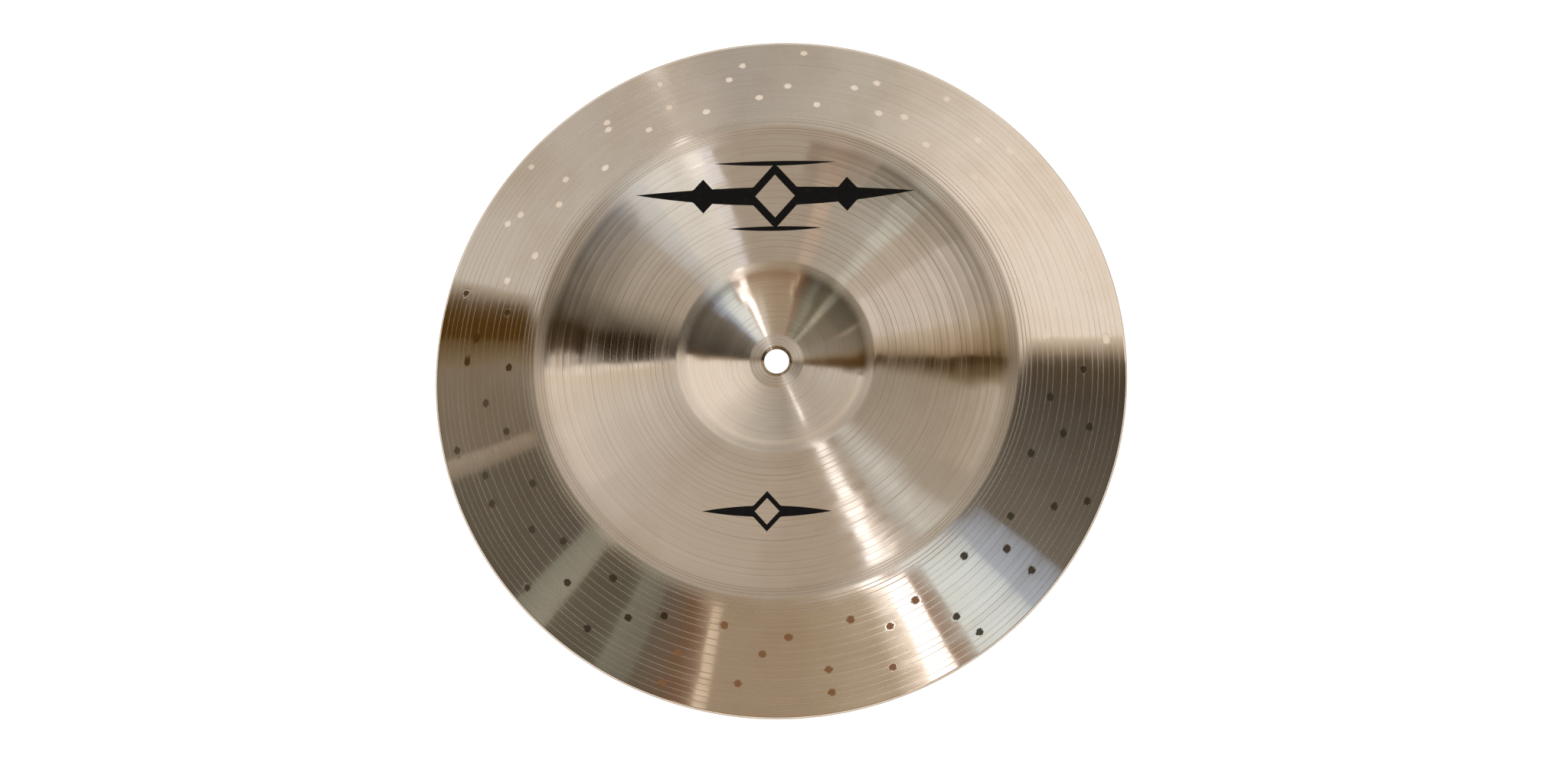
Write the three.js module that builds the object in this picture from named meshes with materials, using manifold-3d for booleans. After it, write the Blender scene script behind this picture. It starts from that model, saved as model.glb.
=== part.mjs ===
import * as THREE from 'three';
import Module from 'manifold-3d';
import { mergeVertices } from 'three/addons/utils/BufferGeometryUtils.js';

// A china cymbal: one sheet of cast, rolled, hammered and lathed bronze with a stand hole, a cup,
// a bow, a sharp crease and a flange that folds back. Two thin ink prints lie on the bow.
// It lies with its hollow side up (+Z), as it is seen from its printed side. The origin is the
// middle of the stand hole, on the flat outer face of the crown. +Y is the way up of the prints.

// Sizes of the sheet, in millimetres. Heights are those of the outer face, above the crown.
const rimDiameter = 355.6;
const holeDiameter = 13;
const landDiameter = 28;
const cupDiameter = 96;
const cupHeight = 12.5;
const creaseDiameter = 244;
const creaseHeight = 23.3;
const rimHeight = 6;

// Slopes of the outer face where the bow leaves the cup and where the flange leaves the crease
const bowStartSlope = THREE.MathUtils.degToRad(4.5);
const flangeStartSlope = THREE.MathUtils.degToRad(-20);

// Thickness of the sheet at the crown, the edge of the cup, the crease and the rim
const crownThickness = 1.2;
const cupEdgeThickness = 1.05;
const creaseThickness = 0.9;
const rimThickness = 0.7;

// Rounded corners, each measured along the sheet from the corner to where it starts and ends
const cupCornerLength = 2.4;
const creaseCornerLength = 1.8;
const rimRounding = 0.3;
const holeBevelWidth = 1.3;
const holeBevelDepth = 0.5;

// The ink prints: the film and its clearance to the bronze
const inkThickness = 0.12;
const inkClearance = 0.1;

// Where each print lies: side of the cup, place, shift and height as shares of the width of the
// bow, and width as a share of the crease
const upperPrintShares = { side: 1, place: 0.49, shift: 0, tall: 0.46, width: 0.59 };
const lowerPrintShares = { side: -1, place: 0.42, shift: -0.05, tall: 0.27, width: 0.26 };

// The bar, the lozenges and the rules of a print, as shares of its height. The width of a lozenge
// and its opening are shares of its own height.
const barThicknessShare = 0.28;
const lozengeWidthShare = 0.92;
const lozengeOpenShare = 0.66;
const sideLozengeShare = 0.52;
const ruleThicknessShare = 0.07;

// The places of the side lozenges and the widths of the rules, as shares of the print's width
const sideLozengePlaceShare = 0.26;
const upperRuleWidthShare = 0.44;
const lowerRuleWidthShare = 0.34;

// How finely the curves are cut into flat faces
const facetsAround = 96;
const cupSteps = 7;
const cornerSteps = 2;
const bowSteps = 6;
const flangeSteps = 4;
const motifSteps = 10;

const holeRadius = holeDiameter / 2;
const landRadius = landDiameter / 2;
const cupRadius = cupDiameter / 2;
const creaseRadius = creaseDiameter / 2;
const rimRadius = rimDiameter / 2;

// A circular arc in the plane of the profile that leaves its start at a given slope
class TangentArc extends THREE.Curve {
  constructor(start, end, startSlope) {
    super();
    this.start = start;
    this.startSlope = startSlope;
    this.chord = start.distanceTo(end);
    this.halfTurn = Math.atan2(end.y - start.y, end.x - start.x) - startSlope;
  }

  getPoint(share, target = new THREE.Vector2()) {
    const turned = this.halfTurn * share;
    const chordShare = this.halfTurn === 0 ? share : Math.sin(turned) / Math.sin(this.halfTurn);
    const direction = this.startSlope + turned;
    target.set(Math.cos(direction), Math.sin(direction)).multiplyScalar(this.chord * chordShare);
    return target.add(this.start);
  }
}

// The places along a curve, from one share of it to another, each with its upward normal
function stationsAlong(curve, steps, from = 0, to = 1) {
  const stations = [];
  for (let step = 0; step <= steps; step += 1) {
    const share = THREE.MathUtils.lerp(from, to, step / steps);
    const tangent = curve.getTangent(share);
    stations.push({ place: curve.getPoint(share), normal: new THREE.Vector2(-tangent.y, tangent.x) });
  }
  return stations;
}

// The rounded corner between two places on the curves that meet at its tip
function cornerStations(before, tip, after) {
  const corner = new THREE.QuadraticBezierCurve(before.place, tip, after.place);
  return stationsAlong(corner, cornerSteps).slice(1, -1);
}

// The outer face from the stand hole to the rim
function outerFaceStations() {
  const holeEdge = new THREE.Vector2(holeRadius, 0);
  const bevelEdge = new THREE.Vector2(holeRadius + holeBevelWidth, 0);
  const landEdge = new THREE.Vector2(landRadius, 0);
  const cupEdge = new THREE.Vector2(cupRadius, cupHeight);
  const crease = new THREE.Vector2(creaseRadius, creaseHeight);
  const rim = new THREE.Vector2(rimRadius - rimRounding, rimHeight);

  const hole = stationsAlong(new THREE.LineCurve(holeEdge, bevelEdge), 1).slice(0, 1);
  const land = stationsAlong(new THREE.LineCurve(bevelEdge, landEdge), 1).slice(0, 1);
  const cupArc = new TangentArc(landEdge, cupEdge, 0);
  const bowArc = new TangentArc(cupEdge, crease, bowStartSlope);
  const flangeArc = new TangentArc(crease, rim, flangeStartSlope);
  const cup = stationsAlong(cupArc, cupSteps, 0, 1 - cupCornerLength / cupArc.getLength());
  const bow = stationsAlong(
    bowArc,
    bowSteps,
    cupCornerLength / bowArc.getLength(),
    1 - creaseCornerLength / bowArc.getLength(),
  );
  const flange = stationsAlong(flangeArc, flangeSteps, creaseCornerLength / flangeArc.getLength(), 1);
  const cupCorner = cornerStations(cup.at(-1), cupEdge, bow[0]);
  const creaseCorner = cornerStations(bow.at(-1), crease, flange[0]);
  return [...hole, ...land, ...cup, ...cupCorner, ...bow, ...creaseCorner, ...flange];
}

// The sheet gets thinner outwards, evenly between the places where its thickness is named
function thicknessAt(radius) {
  const gauges = [
    [landRadius, crownThickness],
    [cupRadius, cupEdgeThickness],
    [creaseRadius, creaseThickness],
    [rimRadius, rimThickness],
  ];
  if (radius <= landRadius) {
    return crownThickness;
  }
  const outer = Math.max(1, gauges.findIndex(([gaugeRadius]) => gaugeRadius >= radius));
  const [innerRadius, innerThickness] = gauges[outer - 1];
  const [outerRadius, outerThickness] = gauges[outer];
  return THREE.MathUtils.mapLinear(radius, innerRadius, outerRadius, innerThickness, outerThickness);
}

// The places on the hollow side, or at a clearance above it
function innerFace(stations, clearance) {
  return stations.map(({ place, normal }) => (
    place.clone().addScaledVector(normal, thicknessAt(place.x) + clearance)
  ));
}

// A closed profile of radius and height, turned about the axis of the cymbal
function turnedGeometry(profile) {
  const geometry = new THREE.LatheGeometry([...profile, profile[0]], facetsAround);
  geometry.rotateX(Math.PI / 2);
  return geometry;
}

function sheetGeometry(stations) {
  const outer = stations.map(({ place }) => place);
  const inner = innerFace(stations, 0);
  const rimEdge = outer.at(-1).clone().lerp(inner.at(-1), 1 / 2);
  rimEdge.x = rimRadius;
  const bevel = new THREE.Vector2(holeRadius, crownThickness - holeBevelDepth);
  return turnedGeometry([...outer, rimEdge, ...inner.slice(1).reverse(), bevel]);
}

// The layer above the bow that the ink fills
function inkLayerGeometry(stations) {
  const onBow = stations.filter(({ place }) => place.x > cupRadius && place.x < creaseRadius);
  const underside = innerFace(onBow, inkClearance);
  const top = innerFace(onBow, inkClearance + inkThickness);
  return turnedGeometry([...underside, ...top.reverse()]);
}

const wasm = await Module();
wasm.setup();

function toSolid(geometry) {
  geometry.deleteAttribute('normal');
  geometry.deleteAttribute('uv');
  const merged = mergeVertices(geometry);
  return new wasm.Manifold(new wasm.Mesh({
    numProp: 3,
    vertProperties: merged.attributes.position.array,
    triVerts: new Uint32Array(merged.index.array),
  }));
}

function toGeometry(solid) {
  const mesh = solid.getMesh();
  const geometry = new THREE.BufferGeometry();
  geometry.setAttribute('position', new THREE.BufferAttribute(mesh.vertProperties, mesh.numProp));
  geometry.setIndex(new THREE.BufferAttribute(mesh.triVerts, 1));
  return geometry;
}

// An upright block with a flat outline, tall enough to cross the layer of ink
function blockOf(outline, x, y) {
  const geometry = new THREE.ExtrudeGeometry(outline, {
    depth: creaseHeight * 2,
    bevelEnabled: false,
    curveSegments: motifSteps,
  });
  geometry.translate(x, y, 0);
  return toSolid(geometry);
}

// A lozenge about the origin
function lozenge(width, tall) {
  return new THREE.Shape([
    new THREE.Vector2(width / 2, 0),
    new THREE.Vector2(0, tall / 2),
    new THREE.Vector2(-width / 2, 0),
    new THREE.Vector2(0, -tall / 2),
  ]);
}

// A bar about the origin that swells in the middle and runs out to a point at both ends
function swelledBar(width, thickness) {
  const bar = new THREE.Shape();
  bar.moveTo(-width / 2, 0);
  bar.quadraticCurveTo(0, thickness, width / 2, 0);
  bar.quadraticCurveTo(0, -thickness, -width / 2, 0);
  return bar;
}

// The middle and size of a print on the bow
function printFrame(shares) {
  const bowWidth = creaseRadius - cupRadius;
  return {
    x: bowWidth * shares.shift,
    y: shares.side * (cupRadius + bowWidth * shares.place),
    width: creaseDiameter * shares.width,
    tall: bowWidth * shares.tall,
  };
}

// An open lozenge on a swelled bar
function lozengeOnBar({ x, y, width, tall }) {
  const lozengeWidth = tall * lozengeWidthShare;
  return blockOf(swelledBar(width, tall * barThicknessShare), x, y)
    .add(blockOf(lozenge(lozengeWidth, tall), x, y))
    .subtract(blockOf(lozenge(lozengeWidth * lozengeOpenShare, tall * lozengeOpenShare), x, y));
}

// The upper print adds a solid lozenge on each half of the bar and a rule at top and bottom
function upperMotif() {
  const frame = printFrame(upperPrintShares);
  const { x, y, width, tall } = frame;
  const ruleThickness = tall * ruleThicknessShare;
  let motif = lozengeOnBar(frame)
    .add(blockOf(swelledBar(width * upperRuleWidthShare, ruleThickness), x, y + tall / 2))
    .add(blockOf(swelledBar(width * lowerRuleWidthShare, ruleThickness), x, y - tall / 2));
  for (const side of [-1, 1]) {
    const sideTall = tall * sideLozengeShare;
    const sideLozenge = lozenge(sideTall * lozengeWidthShare, sideTall);
    motif = motif.add(blockOf(sideLozenge, x + side * width * sideLozengePlaceShare, y));
  }
  return motif;
}

function lowerMotif() {
  return lozengeOnBar(printFrame(lowerPrintShares));
}

// Lathed bronze is pale gold with a soft sheen, and the ink is a flat black
const bronze = new THREE.MeshStandardMaterial({ color: 0xd3bd9f, roughness: 0.3, metalness: 1 });
const ink = new THREE.MeshStandardMaterial({ color: 0x17150f, roughness: 0.55, metalness: 0 });

function namedMesh(name, geometry, material) {
  const mesh = new THREE.Mesh(geometry, material);
  mesh.name = name;
  return mesh;
}

const stations = outerFaceStations();
const inkLayer = toSolid(inkLayerGeometry(stations));
const cymbal = new THREE.Group();
cymbal.add(
  namedMesh('cymbal_plate', sheetGeometry(stations), bronze),
  namedMesh('upper_print', toGeometry(inkLayer.intersect(upperMotif())), ink),
  namedMesh('lower_print', toGeometry(inkLayer.intersect(lowerMotif())), ink),
);

export default cymbal;
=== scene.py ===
"""A china cymbal: one sheet of lathed and hammered bell bronze with two ink prints on its bow."""

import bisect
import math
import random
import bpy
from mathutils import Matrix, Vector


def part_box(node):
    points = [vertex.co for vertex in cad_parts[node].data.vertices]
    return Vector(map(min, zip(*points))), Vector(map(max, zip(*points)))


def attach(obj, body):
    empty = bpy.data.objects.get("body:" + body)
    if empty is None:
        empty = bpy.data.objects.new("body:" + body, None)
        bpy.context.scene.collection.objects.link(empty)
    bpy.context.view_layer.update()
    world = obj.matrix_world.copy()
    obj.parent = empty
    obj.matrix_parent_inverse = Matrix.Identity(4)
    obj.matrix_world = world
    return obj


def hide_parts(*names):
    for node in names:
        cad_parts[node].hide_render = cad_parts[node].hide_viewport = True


bl_info = {
    "name": "China Cymbal",
    "version": (1, 0, 0),
    "blender": (4, 5, 0),
    "location": "3D Viewport > Sidebar > Cymbal",
    "description": "Builds a lathed and hammered china cymbal with its ink prints",
    "category": "Object",
}

import bmesh
import bpy
from mathutils import Matrix, Vector
from mathutils.bvhtree import BVHTree

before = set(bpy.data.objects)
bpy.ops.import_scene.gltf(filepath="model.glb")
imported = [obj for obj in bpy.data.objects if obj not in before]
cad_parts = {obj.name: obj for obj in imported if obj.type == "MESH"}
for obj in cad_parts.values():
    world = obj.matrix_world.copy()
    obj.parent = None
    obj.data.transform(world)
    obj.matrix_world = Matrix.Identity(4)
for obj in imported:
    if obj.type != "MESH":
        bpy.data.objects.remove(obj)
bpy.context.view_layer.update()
SHEET_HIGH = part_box("cymbal_plate")[1]
BODY = "root"
MM = 0.001
UP = Vector((0, 0, 1))

# Sizes of the sheet, as in the construction model. Heights are of the outer face, above the crown.
RIM_RADIUS = SHEET_HIGH[0]
HOLE_RADIUS = 6.5 * MM
LAND_RADIUS = 14 * MM
CUP_RADIUS = 48 * MM
CUP_HEIGHT = 12.5 * MM
CREASE_RADIUS = 122 * MM
CREASE_HEIGHT = 23.3 * MM
RIM_HEIGHT = 6 * MM
BOW_START_SLOPE = math.radians(4.5)
FLANGE_START_SLOPE = math.radians(-20)
CROWN_THICKNESS = 1.2 * MM
CUP_EDGE_THICKNESS = 1.05 * MM
CREASE_THICKNESS = 0.9 * MM
RIM_THICKNESS = 0.7 * MM
CUP_CORNER_LENGTH = 2.4 * MM
CREASE_CORNER_LENGTH = 1.8 * MM
RIM_ROUNDING = 0.3 * MM
HOLE_BEVEL_WIDTH = 1.3 * MM
HOLE_BEVEL_DEPTH = 0.5 * MM

# How the sheet is cut into rows and turned
TURN_STEPS = 256
CURVE_STEP = 0.25 * MM
ROW_STEP = 1.7 * MM
UNDER_ROW_STEP = 4.6 * MM
CREASE_ROWS = 7
CUP_CORNER_ROWS = 6
UNDER_CORNER_ROWS = 5
UNDER_CUP_CORNER_SHARE = 0.8
CORNER_STEPS = 12
RIM_ANGLES = (-60, -30, 0, 30, 60)
BEVEL_STEPS = 5
BEVEL_ROUNDING_SHARE = 0.35

# Lathe grooves on the hollow side. Each is drawn at random within shares of their mean width and
# depth. Those of the cup are shallower, and none on the flange is very shallow
LATHE_SEED = 14
GROOVE_SPACING = 3.4 * MM
GROOVE_WIDTH = 0.5 * MM
GROOVE_DEPTH = 0.0025 * MM
GROOVE_JITTER = 0.35
GROOVE_WIDTH_SHARES = (0.7, 1.2)
GROOVE_DEPTH_SHARES = (0.3, 1.1)
CUP_GROOVE_SHARE = 0.5
FLANGE_GROOVE_LEAST_SHARE = 0.8
CUP_CORNER_CLEARANCE = 2 * CUP_CORNER_LENGTH

# Rings that the lathe leaves beside the crease, measured outwards from it, and their size
CREASE_RINGS = (-5.2 * MM, -3.9 * MM, -2.4 * MM, 0.9 * MM, 2.6 * MM, 4.9 * MM)
CREASE_RING_WIDTH = 0.7 * MM
CREASE_RING_DEPTH = 0.0025 * MM
CREASE_CLEARANCE = 6.5 * MM

# Rings that the tool leaves round the stand hole, and their width and depth
LAND_RING_RADII = (9.6 * MM, 11.6 * MM, 13.4 * MM)
LAND_RING_WIDTH = 0.35 * MM
LAND_RING_DEPTH = 0.002 * MM

# Rows of hammer marks on the flange: share of the rim's radius, marks in the row, angle of the
# first in degrees, how far every second mark stands out, and how far each mark strays
HAMMER_ROWS = (
    (0.765, 28, 3, 3.2 * MM, 1.3 * MM),
    (0.823, 14, 10, 1.2 * MM, 2.6 * MM),
    (0.868, 14, 22, 1.2 * MM, 2.6 * MM),
    (0.908, 13, 14, 1.2 * MM, 2.6 * MM),
    (0.945, 13, 2, 1.2 * MM, 2.6 * MM),
)
MARK_LENGTH = 4.2 * MM
MARK_WIDTH = 3.7 * MM
MARK_DEPTH = 0.012 * MM
# Where the flat bottom ends and where the sheet begins again, as shares of a mark's size
MARK_EDGE_SHARES = (0.46, 0.52)
# The faces within a share of a mark's length from its middle are cut finer
REFINE_REACH_SHARE = 0.95
REFINE_WINDOW_SHARE = 2.5
REFINE_CUTS = 3

# Waves that hammering leaves
WAVE_SIZE = 13 * MM
WAVE_DEPTH = 0.036 * MM
WAVE_SEED = 3.0

# How far the shading leans from the sheet's own normal, as a share of it: outwards on the bottom
# of a hammer mark, inwards where the cup starts, and together on the two sides of the crease.
# Each of these zones starts, leans most and ends at its three places
MARK_LEAN_SHARE = 0.23
CUP_START_LEAN_SHARE = -0.12
CUP_START_PLACES = (13.4 * MM, 14.6 * MM, 28 * MM)
BOW_END_LEAN_SHARE = 0.055
BOW_END_PLACES = (112 * MM, 119 * MM, 122 * MM)
FLANGE_START_LEAN_SHARE = -0.16
FLANGE_START_PLACES = (122 * MM, 123 * MM, 127 * MM)

# The bronze's pattern. Real tool lines are 0.1 to 0.3 mm apart, and are drawn wider so that they
# show. Bands of heavier and lighter cuts are some 7 mm wide, and dull patches some 60 mm
LINE_SPACING = 0.9 * MM
LINE_RELIEF = 0.0007 * MM
BAND_SCALE_SHARE = 0.13
RING_UNEVENNESS = 0.9
PATCH_SIZE = 60 * MM
# Shares of tarnish and of darker brown that are painted into the bow's grooves as shade, and how far
# from the hole the darkening of its bevel fades out, as a share of the bevel's width
GROOVE_SHADE_SHARE = 0.6
GROOVE_DARK_SHADE_SHARE = 0.24
BEVEL_DARKENING_REACH_SHARE = 1.5

# The bronze's roughness: from the smoothest to the roughest tool lines and bands, and then what
# each zone and each groove adds to them
LINE_ROUGHNESS = (0.05, 0.07)
BAND_ROUGHNESS = (-0.01, 0.02)
CREASE_ROUGHNESS = 0.08
CREASE_ROUGH_REACH = 10 * MM
CUP_CORNER_ROUGHNESS = 0.16
CUP_CORNER_ROUGH_REACH = 1.6 * CUP_CORNER_LENGTH
CUP_ROUGHNESS = 0.097
FLANGE_ROUGHNESS = 0.042
BOW_GROOVE_ROUGHNESS = 0.1
FLANGE_GROOVE_ROUGHNESS = 0.4
MARK_ROUGHNESS = 0.08

# The ink is lighter in pinholes and thin spots of the screen, some 2 mm apart
THIN_INK = "#1F1B16"
THIN_SPOT_SIZE = 2 * MM
INK_RELIEF = 0.01 * MM
INK_ROUGHNESS = (0.38, 0.5)
INK_SPECULAR = 0.08

# The camera of the photograph
CAMERA_DISTANCE = 541 * MM
CAMERA_TILT = math.radians(12.26)
CAMERA_TURN = math.radians(13.4)
CAMERA_TARGET = Vector((4.3 * MM, -13.6 * MM, 10 * MM))
CAMERA_LENS_MM = 24.43
CAMERA_SENSOR_MM = 36
CAMERA_CLIP_START = 10 * MM

# The studio
CARD_DISTANCE = 6.0
CARD_STEP = math.radians(2)
FLOOR_RADIUS = 30.0
FLOOR_SEGMENTS = 96
FLOOR_DROP = 0.2 * MM
FLOOR_GLOW = 0.72


def colour(code, alpha=1.0):
    """The linear colour of an sRGB hex code."""
    shares = [int(code[place : place + 2], 16) / 255 for place in (1, 3, 5)]
    linear = [s / 12.92 if s <= 0.04045 else ((s + 0.055) / 1.055) ** 2.4 for s in shares]
    return (*linear, alpha)


def add_node(tree, kind, inputs=None, **settings):
    """Add a node. The inputs map a socket's name or number to a value or to another socket."""
    node = tree.nodes.new(kind)
    for name, value in settings.items():
        setattr(node, name, value)
    for key, value in (inputs or {}).items():
        if isinstance(value, bpy.types.NodeSocket):
            tree.links.new(value, node.inputs[key])
        else:
            node.inputs[key].default_value = value
    return node


def from_axis(tree, place):
    """A place's arm from the Z axis, and the length of that arm, the radius."""
    arm = add_node(
        tree, "ShaderNodeVectorMath", {0: place, 1: (1.0, 1.0, 0.0)}, operation="MULTIPLY"
    ).outputs[0]
    radius = add_node(tree, "ShaderNodeVectorMath", {0: arm}, operation="LENGTH").outputs["Value"]
    return arm, radius


def gap_from(tree, radius, ring):
    """How far a radius is from that of a ring, on either side of it."""
    gap = add_node(tree, "ShaderNodeMath", {0: radius, 1: ring}, operation="SUBTRACT").outputs[0]
    return add_node(tree, "ShaderNodeMath", {0: gap}, operation="ABSOLUTE").outputs[0]


def length_property(name, description, default):
    """A length that a user can change."""
    return bpy.props.FloatProperty(
        name=name, description=description, default=default, min=0.0, unit="LENGTH", precision=5
    )


def colour_property(name, description, code):
    """A colour that a user can change, given by its sRGB hex code."""
    return bpy.props.FloatVectorProperty(
        name=name, description=description, size=4, subtype="COLOR", default=colour(code)
    )


class CymbalLathe(bpy.types.PropertyGroup):
    """What the lathe leaves on the hollow side."""

    groove_spacing: length_property(
        "Groove Spacing", "Mean distance between two lathe grooves", GROOVE_SPACING
    )
    groove_width: length_property("Groove Width", "Mean width of a lathe groove", GROOVE_WIDTH)
    groove_depth: length_property("Groove Depth", "Mean depth of a lathe groove", GROOVE_DEPTH)
    spacing_jitter: bpy.props.FloatProperty(
        name="Spacing Jitter",
        description="How far the distance between grooves wanders",
        default=GROOVE_JITTER,
        min=0.0,
        max=0.9,
        subtype="FACTOR",
    )


class CymbalHammer(bpy.types.PropertyGroup):
    """What the hammer leaves on the sheet."""

    mark_length: length_property("Mark Length", "Length of a mark along the rim", MARK_LENGTH)
    mark_width: length_property("Mark Width", "Width of a mark across the flange", MARK_WIDTH)
    mark_depth: length_property("Mark Depth", "Depth of a mark", MARK_DEPTH)
    wave_size: length_property("Wave Size", "Width of the waves that hammering leaves", WAVE_SIZE)
    wave_depth: length_property("Wave Depth", "Most that a wave rises from its trough", WAVE_DEPTH)


class CymbalFinish(bpy.types.PropertyGroup):
    """The colours of the bronze and the ink."""

    bronze: colour_property("Bronze", "Clean lathed bell bronze", "#E6D5C2")
    tarnish: colour_property("Tarnish", "Bronze that has begun to dull", "#CDB69C")
    # Darker brown that is painted into the bow's grooves as shade, and that also darkens the bevel of
    # the stand hole
    groove_shade_and_bevel_tint: colour_property("Groove Shade and Bevel Tint", "Bronze stained by the felt, round the hole", "#9C8468")
    ink: colour_property("Ink", "Printed ink", "#0F0D0A")


# The sheet's profile: places are (radius, height)


class TangentArc:
    """A circular arc that leaves its start at a given slope."""

    def __init__(self, start, end, start_slope):
        self.start = start
        self.chord = (end - start).length
        self.start_slope = start_slope
        self.half_turn = math.atan2(end.y - start.y, end.x - start.x) - start_slope

    def at(self, share):
        """The place at a share of the arc's whole turn."""
        turned = self.half_turn * share
        reach = self.chord * math.sin(turned) / math.sin(self.half_turn)
        direction = self.start_slope + turned
        return self.start + Vector((math.cos(direction), math.sin(direction))) * reach


def rounded_corner(before, tip, after, steps):
    """The places between two others on a curve that is drawn towards a corner's tip."""
    places = []
    for step in range(1, steps):
        share = step / steps
        places.append(before.lerp(tip, share).lerp(tip.lerp(after, share), share))
    return places


def outer_face():
    """The outer face in close steps from the stand hole to the rim."""
    land = Vector((LAND_RADIUS, 0))
    cup_edge = Vector((CUP_RADIUS, CUP_HEIGHT))
    crease = Vector((CREASE_RADIUS, CREASE_HEIGHT))
    rim = Vector((RIM_RADIUS - RIM_ROUNDING, RIM_HEIGHT))
    places = [Vector((HOLE_RADIUS, 0))]
    zones = (
        (TangentArc(land, cup_edge, 0), 0, CUP_CORNER_LENGTH),
        (TangentArc(cup_edge, crease, BOW_START_SLOPE), CUP_CORNER_LENGTH, CREASE_CORNER_LENGTH),
        (TangentArc(crease, rim, FLANGE_START_SLOPE), CREASE_CORNER_LENGTH, 0),
    )
    for arc, skipped, left in zones:
        first = arc.at(skipped / arc.chord)
        if skipped:
            places += rounded_corner(places[-1], arc.start, first, CORNER_STEPS)
        steps = round(arc.chord / CURVE_STEP)
        low, high = skipped / arc.chord, 1 - left / arc.chord
        places += [arc.at(low + (high - low) * step / steps) for step in range(steps + 1)]
    return places


class SheetSection:
    """The smooth section of the sheet, looked up by radius."""

    def __init__(self):
        self.places = outer_face()
        self.radii = [place.x for place in self.places]

    def outer(self, radius):
        """The outer face's place and direction at a radius."""
        after = min(max(bisect.bisect_left(self.radii, radius), 1), len(self.radii) - 1)
        low, high = self.places[after - 1], self.places[after]
        share = (radius - low.x) / (high.x - low.x)
        return low.lerp(high, share), (high - low).normalized()

    def inner(self, radius, depth=0.0):
        """The hollow side's place opposite the outer face's, with a groove's depth cut off."""
        place, tangent = self.outer(radius)
        normal = Vector((-tangent.y, tangent.x))
        return place + normal * (thickness_at(radius) - depth)


def thickness_at(radius):
    """The sheet's gauge, which thins out from the land to the rim."""
    gauges = (
        (LAND_RADIUS, CROWN_THICKNESS),
        (CUP_RADIUS, CUP_EDGE_THICKNESS),
        (CREASE_RADIUS, CREASE_THICKNESS),
        (RIM_RADIUS, RIM_THICKNESS),
    )
    if radius <= LAND_RADIUS:
        return CROWN_THICKNESS
    for (inner, thick), (outer, thin) in zip(gauges, gauges[1:]):
        if radius <= outer:
            return thick + (thin - thick) * (radius - inner) / (outer - inner)
    return RIM_THICKNESS


def grooves_of(lathe):
    """Where the lathe's grooves lie on the hollow side: radius, width and depth of each."""
    draw = random.Random(LATHE_SEED)
    grooves = []
    radius = LAND_RADIUS + lathe.groove_spacing
    while radius < RIM_RADIUS - lathe.groove_spacing:
        clear_of_corner = abs(radius - CUP_RADIUS) > CUP_CORNER_CLEARANCE
        clear_of_crease = abs(radius - CREASE_RADIUS) > CREASE_CLEARANCE
        if clear_of_corner and clear_of_crease:
            depth = lathe.groove_depth * draw.uniform(*GROOVE_DEPTH_SHARES)
            if radius < CUP_RADIUS:
                depth *= CUP_GROOVE_SHARE
            elif radius > CREASE_RADIUS:
                depth = max(depth, FLANGE_GROOVE_LEAST_SHARE * lathe.groove_depth)
            width = lathe.groove_width * draw.uniform(*GROOVE_WIDTH_SHARES)
            grooves.append((radius, width, depth))
        radius += lathe.groove_spacing * (1 + lathe.spacing_jitter * draw.uniform(-1, 1))
    for radius in LAND_RING_RADII:
        grooves.append((radius, LAND_RING_WIDTH, LAND_RING_DEPTH))
    for offset in CREASE_RINGS:
        grooves.append((CREASE_RADIUS + offset, CREASE_RING_WIDTH, CREASE_RING_DEPTH))
    return sorted(grooves)


def rows_beside(ring, reach, count):
    """Radii that are spaced evenly across a ring, from one side of it to the other."""
    return [ring + reach * (2 * n / (count - 1) - 1) for n in range(count)]


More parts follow.
